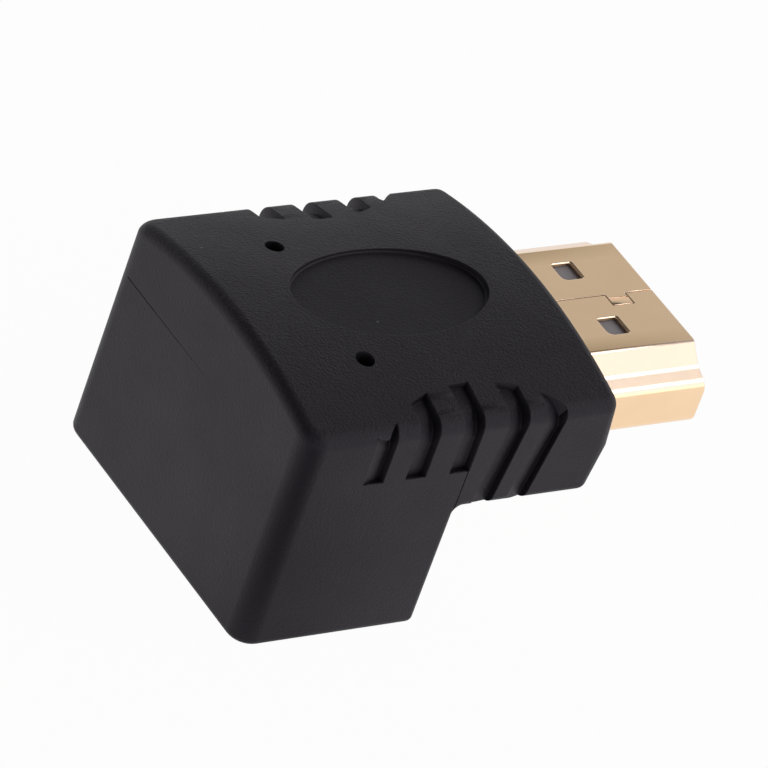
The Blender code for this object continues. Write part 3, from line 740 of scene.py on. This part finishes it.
def ribbon(name, start, moves, width, sheet):
    """A strip of sheet: one edge across Y, extruded once for each move, then thickened to both sides."""
    ends = [Vector(start) + Vector((0, hand * width / 2, 0)) for hand in (-1, 1)]
    made = mesh_object(name, ends, [(0, 1)], [])
    for move in moves:
        last = len(made.data.vertices) - 2
        pick(made, "VERT", lambda v: v.index >= last)
        bpy.ops.mesh.select_mode(type="EDGE")
        bpy.ops.mesh.extrude_region_move(TRANSFORM_OT_translate={"value": move})
        choose(made)
    return apply_modifier(made, "SOLIDIFY", thickness=sheet, offset=0, use_even_offset=True)


for face in (-1, 1):
    sheet_x = SOCKET_BACK + PLUG_HEIGHT / 2 + face * (PLUG_HEIGHT / 2 + SOCKET_CLEARANCE + SOCKET_SHEET / 2)
    for hand in (-1, 1):
        middle = hand * SPRING_SPACING / 2
        opening = SPRING_WIDTH / 2 + SPRING_SLIT
        low = (sheet_x - SOCKET_SHEET, middle - opening, spring_low)
        high = (sheet_x + SOCKET_SHEET, middle + opening, spring_root)
        cut(socket_sleeve, block("spring_opening", low, high))
        moves = [
            (0, 0, -SPRING_ROOT),
            (-face * SPRING_BEND * 0.15, 0, -SPRING_LENGTH * 0.2),
            (-face * SPRING_BEND * 0.85, 0, SPRING_NOSE - SPRING_LENGTH * 0.8),
            (face * SPRING_BEND / 2, 0, SPRING_SLIT - SPRING_NOSE),
        ]
        start = (sheet_x, middle, spring_root + SPRING_ROOT)
        springs.append(ribbon("spring", start, moves, SPRING_WIDTH, SPRING_SHEET))
for spring in springs:
    cut(socket_sleeve, spring, "UNION")
round_sheared_edges(socket_sleeve)
smooth(socket_sleeve)
print("socket sleeve", len(socket_sleeve.data.polygons), "faces")

# %% [markdown]
# ## The resin blocks
#
# Inside each shell a block of dark resin carries the contacts. The plug's block has a slot, and the socket's
# has a tongue that fits it. The solids already have the right shape, so a copy is merged, because a solid
# comes as loose triangles, cleaned of the edges inside its flat faces, and given a fine bevel.

# %% Resin blocks from their solids
RESIN_EDGE = 0.04 * MM
RESIN_FLAT_FOLD = math.radians(0.5)
MERGE = 0.0005 * MM


def copy_of(name, node):
    """A merged copy of a solid, with its flat faces whole again."""
    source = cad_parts[node]
    made = bpy.data.objects.new(name, source.data.copy())
    stage.collection.objects.link(made)
    pick(made, "VERT", lambda v: True)
    bpy.ops.mesh.remove_doubles(threshold=MERGE)
    bpy.ops.mesh.dissolve_limited(angle_limit=RESIN_FLAT_FOLD)
    return choose(made)


plug_block = copy_of("plug_block", "plug_insulator")
socket_block = copy_of("socket_block", "socket_insulator")
for resin_block in (plug_block, socket_block):
    round_sheared_edges(resin_block, RESIN_EDGE)
    smooth(resin_block)
print("resin blocks", len(plug_block.data.polygons), len(socket_block.data.polygons), "faces")

# %% [markdown]
# ## Effects that several finishes share
#
# Grain and slow changes of tone turn up in more than one material, so each is a node group with inputs of its
# own. Edge shine and specks are built the same way. The patterns read object coordinates, which are metres in
# the object's own frame. A group puts out only values, and each material decides what to do with them.


# %% Helpers for node trees
def feed(value, target):
    """Feeds an input of a node with a socket, a number, or the three numbers of a colour."""
    if isinstance(value, bpy.types.NodeSocket):
        target.id_data.links.new(value, target)
    elif target.type == "RGBA":
        target.default_value = (*value, 1)
    else:
        target.default_value = value


def node(tree, kind, inputs=None, **settings):
    """Adds a node and feeds the inputs that are given by name or number."""
    made = tree.nodes.new(kind)
    for name, value in settings.items():
        setattr(made, name, value)
    for name, value in (inputs or {}).items():
        feed(value, made.inputs[name])
    return made


def maths(tree, operation, first, second, **settings):
    """A Math node. Each of its two values is a number or a socket."""
    made = node(tree, "ShaderNodeMath", {0: first, 1: second}, operation=operation, **settings)
    return made.outputs["Value"]


def noise(tree, coordinates, scale, detail, roughness):
    inputs = {"Vector": coordinates, "Scale": scale, "Detail": detail, "Roughness": roughness}
    return node(tree, "ShaderNodeTexNoise", inputs).outputs["Fac"]


def spread(tree, value, low, high, to_low, to_high):
    """Stretches a value's range to another one, clamped."""
    inputs = {"Value": value, "From Min": low, "From Max": high, "To Min": to_low, "To Max": to_high}
    return node(tree, "ShaderNodeMapRange", inputs).outputs["Result"]


def own_place(tree):
    return node(tree, "ShaderNodeTexCoord").outputs["Object"]


def own_normal(tree):
    return node(tree, "ShaderNodeNewGeometry").outputs["Normal"]


def split(tree, vector):
    """The X, Y and Z of a vector, by name."""
    return node(tree, "ShaderNodeSeparateXYZ", {"Vector": vector}).outputs


def new_group(name, inputs, *outputs):
    """An empty group, the sockets that bring its inputs in and those that take its outputs."""
    group = bpy.data.node_groups.new(name, "ShaderNodeTree")
    for socket, value in inputs.items():
        made = group.interface.new_socket(socket, in_out="INPUT", socket_type="NodeSocketFloat")
        made.default_value = value
    for socket in outputs:
        group.interface.new_socket(socket, in_out="OUTPUT", socket_type="NodeSocketFloat")
    return group, node(group, "NodeGroupInput").outputs, node(group, "NodeGroupOutput").inputs


# %% [markdown]
# Pebble grain is the fine leather-like texture of a spark-eroded mould: rounded cells, about a sixth of a
# millimetre wide on the black plastic, with smaller pits between them. It puts out a height for the bump
# and a shade for the colour.

# %% Pebble grain
grain_inputs = {"Cells per metre": 4500.0, "Pits": 0.5}
grain_group, given, result = new_group("pebble_grain", grain_inputs, "Height", "Shade")
place = own_place(grain_group)
scale = given["Cells per metre"]
cell_inputs = {"Vector": place, "Scale": scale, "Smoothness": 0.6}
cells = node(grain_group, "ShaderNodeTexVoronoi", cell_inputs, feature="SMOOTH_F1").outputs["Distance"]
pits = noise(grain_group, place, maths(grain_group, "MULTIPLY", scale, 2.6), 3, 0.6)
soft = noise(grain_group, place, scale, 2, 0.5)
pebbles = maths(grain_group, "SUBTRACT", soft, maths(grain_group, "MULTIPLY", cells, 0.7))
height = maths(grain_group, "ADD", pebbles, maths(grain_group, "MULTIPLY", pits, given["Pits"]))
shade = maths(grain_group, "ADD", pits, maths(grain_group, "SUBTRACT", soft, 0.5))
feed(height, result["Height"])
feed(shade, result["Shade"])
print("pebble grain has", len(grain_group.nodes), "nodes")

# %% [markdown]
# Slow tone is a cloud of changes, a few millimetres across on the black plastic and on the gold: handling
# marks on the one, an uneven plating bath on the other. Edge shine finds the edges: the Bevel node gives a
# rounded normal, and where it leaves the true normal there is an edge.

# %% Slow tone and edge shine
tone_group, given, result = new_group("slow_tone", {"Clouds per metre": 250.0}, "Tone")
clouds = noise(tone_group, own_place(tone_group), given["Clouds per metre"], 4, 0.55)
feed(clouds, result["Tone"])

edge_group, given, result = new_group("edge_shine", {"Reach": 0.0002, "Gain": 6.0}, "Edge")
rounded = node(edge_group, "ShaderNodeBevel", {"Radius": given["Reach"]}, samples=4).outputs["Normal"]
normals = {0: rounded, 1: own_normal(edge_group)}
match = node(edge_group, "ShaderNodeVectorMath", normals, operation="DOT_PRODUCT").outputs["Value"]
away = maths(edge_group, "SUBTRACT", 1.0, match)
feed(maths(edge_group, "MULTIPLY", away, given["Gain"], use_clamp=True), result["Edge"])
print("groups", [group.name for group in bpy.data.node_groups])

# %% [markdown]
# Specks are the few pale grains of dust and mould scale that any black plastic shows under strong light: tiny
# dots, most of them left out at random.

# %% Specks
speck_inputs = {"Dots per metre": 900.0, "Size": 0.05, "Share": 0.25}
speck_group, given, result = new_group("specks", speck_inputs, "Speck")
dot_inputs = {"Vector": own_place(speck_group), "Scale": given["Dots per metre"]}
dots = node(speck_group, "ShaderNodeTexVoronoi", dot_inputs).outputs
close = maths(speck_group, "LESS_THAN", dots["Distance"], given["Size"])
kept = maths(speck_group, "LESS_THAN", split(speck_group, dots["Color"])["X"], given["Share"])
feed(maths(speck_group, "MULTIPLY", close, kept), result["Speck"])
print("specks has", len(speck_group.nodes), "nodes")


# %% Helpers for materials
def new_material(name, metallic=0.0):
    material = bpy.data.materials.new(name)
    material.use_nodes = True
    tree = material.node_tree
    shader = tree.nodes["Principled BSDF"]
    feed(metallic, shader.inputs["Metallic"])
    return material, tree, shader


def use_group(tree, group, **values):
    inputs = {name.replace("_", " "): value for name, value in values.items()}
    return node(tree, "ShaderNodeGroup", inputs, node_tree=group).outputs


def by_tone(tree, tone, low, high):
    """A value from low to high that wanders with the slow tone."""
    return spread(tree, tone["Tone"], 0.3, 0.7, low, high)


def blend_colours(tree, share, first, second):
    """Mixes two colours. Each one is three numbers or a socket."""
    made = node(tree, "ShaderNodeMix", {"Factor": share}, data_type="RGBA")
    targets = [socket for socket in made.inputs if socket.type == "RGBA"]
    feed(first, targets[0])
    feed(second, targets[1])
    return [socket for socket in made.outputs if socket.type == "RGBA"][0]


def add_bump(tree, shader, height, distance, strength=1.0):
    inputs = {"Height": height, "Distance": distance, "Strength": strength}
    feed(node(tree, "ShaderNodeBump", inputs).outputs["Normal"], shader.inputs["Normal"])


# %% [markdown]
# ## The finishes
#
# The black plastic is very dark and almost colourless, and its shine is faintly violet: most of what the eye
# sees on it is a dull reflection of the surroundings. So its colour stays low, its roughness high, and the
# grain works through the bump. The grain is deeper on the top than on the sides and in the oval.

# %% Black moulded plastic
SIDE_GRAIN = 0.35
OVAL_GRAIN = 0.6
OVAL_MATT = 0.06
OVAL_FADE = (0.97, 1.01)
EDGE_POLISH = 0.06
BLACK_DEEP = (0.0035, 0.0027, 0.0055)
BLACK_PALE = (0.0075, 0.006, 0.0105)
BLACK_SHINE = 0.39
BLACK_SHINE_TINT = (0.97, 0.885, 1.0)
BLACK_GRAIN_DEPTH = 0.034 * MM
SPECK_GREY = (0.16, 0.16, 0.165)

black, tree, shader = new_material("moulded_black")
feed(BLACK_SHINE, shader.inputs["Specular IOR Level"])
feed(BLACK_SHINE_TINT, shader.inputs["Specular Tint"])
grain = use_group(tree, grain_group, Cells_per_metre=6400.0, Pits=0.9)
tone = use_group(tree, tone_group, Clouds_per_metre=220.0)
edges = use_group(tree, edge_group, Reach=0.00025, Gain=5.0)
dust = use_group(tree, speck_group, Dots_per_metre=1100.0, Size=0.06, Share=0.14)
fine = spread(tree, grain["Shade"], 0.3, 0.8, 0.0, 1.0)
plastic = blend_colours(tree, fine, BLACK_DEEP, BLACK_PALE)
on_top = spread(tree, split(tree, own_normal(tree))["Z"], 0.3, 0.9, 0.0, 1.0)
base = blend_colours(tree, maths(tree, "MULTIPLY", dust["Speck"], on_top), plastic, SPECK_GREY)
feed(base, shader.inputs["Base Color"])
oval = {
    "Vector": own_place(tree),
    "Location": (*oval_centre, body_high.z),
    "Scale": (OVAL_HALF_LENGTH, OVAL_HALF_WIDTH, 1),
}
oval_place = node(tree, "ShaderNodeMapping", oval, vector_type="TEXTURE").outputs["Vector"]
from_middle = node(tree, "ShaderNodeVectorMath", {0: oval_place}, operation="LENGTH").outputs["Value"]
calm = spread(tree, from_middle, *OVAL_FADE, OVAL_GRAIN, 1.0)
in_oval = spread(tree, from_middle, *OVAL_FADE, OVAL_MATT, 0.0)
etched = maths(tree, "MULTIPLY", spread(tree, on_top, 0.0, 1.0, SIDE_GRAIN, 1.0), calm)
polished = maths(tree, "MULTIPLY", edges["Edge"], -EDGE_POLISH)
rough = maths(tree, "ADD", by_tone(tree, tone, 0.5, 0.56), polished)
matt = maths(tree, "MULTIPLY", in_oval, on_top)
feed(maths(tree, "ADD", rough, matt), shader.inputs["Roughness"])
add_bump(tree, shader, maths(tree, "MULTIPLY", grain["Height"], etched), BLACK_GRAIN_DEPTH)
print(black.name, len(tree.nodes), "nodes")

# %% [markdown]
# The gold is a thin plating on smooth sheet. It mirrors its surroundings a little blurred, with faint lines
# along the direction in which the sheet was rolled. Folding left the sheet slightly wavy, which shows as soft
# bands in its bright flank. Two tones are set to match the picture, and aren't known facts about the plating.
# A darker, browner one beside the folds of the narrow face, strongest near the moulding, is painted shade. A
# paler one on the bent flank, where the sheet mirrors the side lamp, is a painted highlight.

# %% Gold plating
GOLD_DEEP = (0.92, 0.66, 0.42)
GOLD_PALE = (0.96, 0.7, 0.46)
# The fold tone below is painted shade, and the flank tone is a painted highlight.
FOLD_SHADE_TONE = (0.34, 0.24, 0.1)
FOLD_SHADE_SHARE = 0.6
FLANK_HIGHLIGHT_TONE = (0.84, 0.655, 0.52)
GOLD_WAVE_DEPTH = 0.03 * MM

gold, tree, shader = new_material("gold_plate", metallic=1.0)
tone = use_group(tree, tone_group, Clouds_per_metre=350.0)
base = blend_colours(tree, by_tone(tree, tone, 0.0, 1.0), GOLD_DEEP, GOLD_PALE)
place = own_place(tree)
upwards = split(tree, own_normal(tree))["Z"]
from_seam = maths(tree, "ABSOLUTE", split(tree, place)["Y"], 0.0)
# Painted shade: beside the folds of the narrow face, most near the moulding, the gold turns darker and
# browner.
by_fold = spread(tree, from_seam, 3.3 * MM, 4.6 * MM, 0.0, FOLD_SHADE_SHARE)
on_narrow_face = spread(tree, upwards, 0.94, 0.99, 0.0, 1.0)
by_moulding = spread(tree, split(tree, place)["X"], mouth, plug_high.x, 1.0, 0.25)
fold = maths(tree, "MULTIPLY", maths(tree, "MULTIPLY", by_fold, on_narrow_face), by_moulding)
base = blend_colours(tree, fold, base, FOLD_SHADE_TONE)
# Painted highlight: the bent flank, which mirrors the side lamp, takes a paler tone.
on_flank = maths(tree, "SUBTRACT", spread(tree, upwards, 0.56, 0.68, 0.0, 1.0), on_narrow_face)
feed(blend_colours(tree, on_flank, base, FLANK_HIGHLIGHT_TONE), shader.inputs["Base Color"])
rolled = node(tree, "ShaderNodeMapping", {"Vector": place, "Scale": (0.06, 1.0, 1.0)}).outputs["Vector"]
lines = noise(tree, rolled, 16000.0, 2, 0.5)
rough = maths(tree, "ADD", by_tone(tree, tone, 0.13, 0.19), maths(tree, "MULTIPLY", lines, 0.04))
feed(rough, shader.inputs["Roughness"])
waves = use_group(tree, tone_group, Clouds_per_metre=130.0)
relief = maths(tree, "ADD", maths(tree, "MULTIPLY", lines, 0.02), waves["Tone"])
add_bump(tree, shader, relief, GOLD_WAVE_DEPTH)
print(gold.name, len(tree.nodes), "nodes")

# %% [markdown]
# Three plainer finishes share one recipe: colour and roughness wander with the slow tone. The contacts are a
# warmer gold than the plated shells. Resin parts are glass-filled and slightly glossy, and the fibres show as
# faint flow marks. The inner mould is natural plastic, milky and waxy. The board is green laminate, and its
# woven glass shows as a faint check.


# %% Contact gold, resin, inner mould and board
def toned_material(name, clouds, dark, pale, smoothest, roughest, metallic=0.0):
    material, tree, shader = new_material(name, metallic)
    tone = use_group(tree, tone_group, Clouds_per_metre=clouds)
    feed(blend_colours(tree, by_tone(tree, tone, 0.0, 1.0), dark, pale), shader.inputs["Base Color"])
    feed(by_tone(tree, tone, smoothest, roughest), shader.inputs["Roughness"])
    return material


CONTACT_TONES = ((0.9, 0.62, 0.28), (0.98, 0.74, 0.4))
RESIN_TONES = ((0.38, 0.35, 0.375), (0.47, 0.435, 0.465))
NATURAL_TONES = ((0.52, 0.5, 0.45), (0.6, 0.58, 0.53))
LAMINATE_TONES = ((0.018, 0.14, 0.055), (0.026, 0.17, 0.07))

contact_gold = toned_material("contact_gold", 900.0, *CONTACT_TONES, 0.16, 0.28, metallic=1.0)
resin = toned_material("insulator_resin", 1500.0, *RESIN_TONES, 0.38, 0.5)
tree = resin.node_tree
grain = use_group(tree, grain_group, Cells_per_metre=14000.0, Pits=0.8)
add_bump(tree, tree.nodes["Principled BSDF"], grain["Height"], 0.003 * MM, 0.5)
natural = toned_material("inner_mould_resin", 500.0, *NATURAL_TONES, 0.42, 0.55)

laminate, tree, shader = new_material("board_laminate")
weave = node(tree, "ShaderNodeTexChecker", {"Vector": own_place(tree), "Scale": 2500.0}).outputs["Fac"]
feed(blend_colours(tree, weave, *LAMINATE_TONES), shader.inputs["Base Color"])
tone = use_group(tree, tone_group, Clouds_per_metre=700.0)
feed(by_tone(tree, tone, 0.3, 0.42), shader.inputs["Roughness"])
print("materials", [material.name for material in bpy.data.materials])

# %% [markdown]
# ## Handing over
#
# The new pieces take the place of their solids. The contacts, the board and the inner mould keep theirs and
# only get a finish.

# %% Hand the pieces over
hand_over(moulding, black, "moulded_black", "body")
hand_over(plug_sleeve, gold, "gold_plate", "plug_shell")
hand_over(socket_sleeve, gold, "gold_plate", "socket_shell")
hand_over(plug_block, resin, "insulator_resin", "plug_insulator")
hand_over(socket_block, resin, "insulator_resin", "socket_insulator")
for name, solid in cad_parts.items():
    finish = {"inner_mould": natural, "circuit_board": laminate}.get(name)
    if "contact" in name:
        finish = contact_gold
    if finish:
        solid.data.materials.clear()
        solid.data.materials.append(finish)
print("kept solids", sum(not solid.hide_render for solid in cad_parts.values()))

# %% [markdown]
# ## Floor and light
#
# The floor is a pale sheet that reaches past the view. Most of what the camera and the reflections see of it
# is a plain white glow, so it reads as white paper without more light falling on the adapter, and the rest is
# its lit colour, which carries the shadow. The corner of the leg that points at the viewer mirrors the paper
# just in front of it. A soft dark spot there, seen only by shiny surfaces, draws the corner dark.

# %% The floor
FLOOR_SIZE = 4.0
FLOOR_GREY = (0.88, 0.88, 0.88)
FLOOR_ROUGHNESS = 0.9
FLOOR_GLOW = 0.97
SHADE_PLACE = (-0.027, -0.032, 0.0)
SHADE_FROM = 0.012
SHADE_TO = 0.032
SHADE_SHARE = 0.9

bpy.ops.object.select_all(action="DESELECT")
bpy.ops.mesh.primitive_plane_add(size=FLOOR_SIZE, location=(0, 0, 0))
floor_sheet = bpy.context.object
floor_sheet.name = "floor_sheet"


def mix_shaders(tree, share, first, second):
    return node(tree, "ShaderNodeMixShader", {0: share, 1: first, 2: second}).outputs["Shader"]


def emission(tree, strength):
    return node(tree, "ShaderNodeEmission", {"Strength": strength}).outputs["Emission"]


paper, tree, shader = new_material("floor_paper")
feed(FLOOR_GREY, shader.inputs["Base Color"])
feed(FLOOR_ROUGHNESS, shader.inputs["Roughness"])
rays = node(tree, "ShaderNodeLightPath").outputs
looked_at = maths(tree, "MAXIMUM", rays["Is Camera Ray"], rays["Is Glossy Ray"])
looked_at = maths(tree, "MAXIMUM", looked_at, rays["Is Transmission Ray"])
glow_share = maths(tree, "MULTIPLY", looked_at, FLOOR_GLOW)
glowing = mix_shaders(tree, glow_share, shader.outputs["BSDF"], emission(tree, 1.0))
ends = {0: own_place(tree), 1: SHADE_PLACE}
from_shade = node(tree, "ShaderNodeVectorMath", ends, operation="DISTANCE").outputs["Value"]
shade = spread(tree, from_shade, SHADE_FROM, SHADE_TO, SHADE_SHARE, 0.0)
dark_share = maths(tree, "MULTIPLY", rays["Is Glossy Ray"], shade)
shaded = mix_shaders(tree, dark_share, glowing, emission(tree, 0.0))
feed(shaded, tree.nodes["Material Output"].inputs["Surface"])
floor_sheet.data.materials.append(paper)
print("floor of", FLOOR_SIZE, "m")

# %% [markdown]
# The light is that of a product table: a pale room whose walls are lighter than its ceiling and lightest at
# the plug's end, three soft lamps in a row from the near side to overhead, and a low one that lights the
# back. Gold is only as good as what it mirrors: its upper face sees the far wall, its folded flank sees the
# side lamp, its shoulder sees the overhead one, and the fold at the top sees the darker ceiling, which draws
# the thin dark line along it. The lamp between those two is the brightest and draws the highlight on the
# near rounding of the black top.

# %% The room
WALL_LEVEL = 0.6
CEILING_LEVEL = 0.12
DARK_END = 0.3

room = bpy.data.worlds.new("room")
room.use_nodes = True
stage.world = room
tree = room.node_tree
direction = split(tree, node(tree, "ShaderNodeTexCoord").outputs["Generated"])
upper = spread(tree, direction["Z"], 0.6, 0.68, WALL_LEVEL, CEILING_LEVEL)
lighter_end = spread(tree, direction["X"], -0.6, 0.5, DARK_END, 1.0)
lower = spread(tree, direction["Z"], 0.1, 0.5, 1.0, 0.0)
white_near_floor = maths(tree, "MULTIPLY", lower, 1.0 - WALL_LEVEL)
level = maths(tree, "ADD", maths(tree, "MULTIPLY", upper, lighter_end), white_near_floor)
backdrop = tree.nodes["Background"]
feed(level, backdrop.inputs["Strength"])
feed((1, 1, 1), backdrop.inputs["Color"])
print("room from", WALL_LEVEL, "to", CEILING_LEVEL)


# %% The lamps
def lamp(name, place, size, level):
    """A square soft lamp that points at the adapter, as bright to look at as the level times white."""
    data = bpy.data.lights.new(name, "AREA")
    data.size = size
    data.energy = level * math.pi * size**2
    made = bpy.data.objects.new(name, data)
    stage.collection.objects.link(made)
    made.location = place
    made.rotation_euler = (-Vector(place)).to_track_quat("-Z", "Y").to_euler()


lamp("side_lamp", (0.567, -0.62, 0.54), 0.62, 0.9)
lamp("rim_lamp", (0.567, -0.27, 0.78), 0.3, 3.7)
lamp("overhead_lamp", (0.567, 0.02, 0.82), 0.28, 1.0)
lamp("low_lamp", (-1.0, 0.35, 0.15), 0.5, 0.5)
stage.view_settings.view_transform = "Standard"
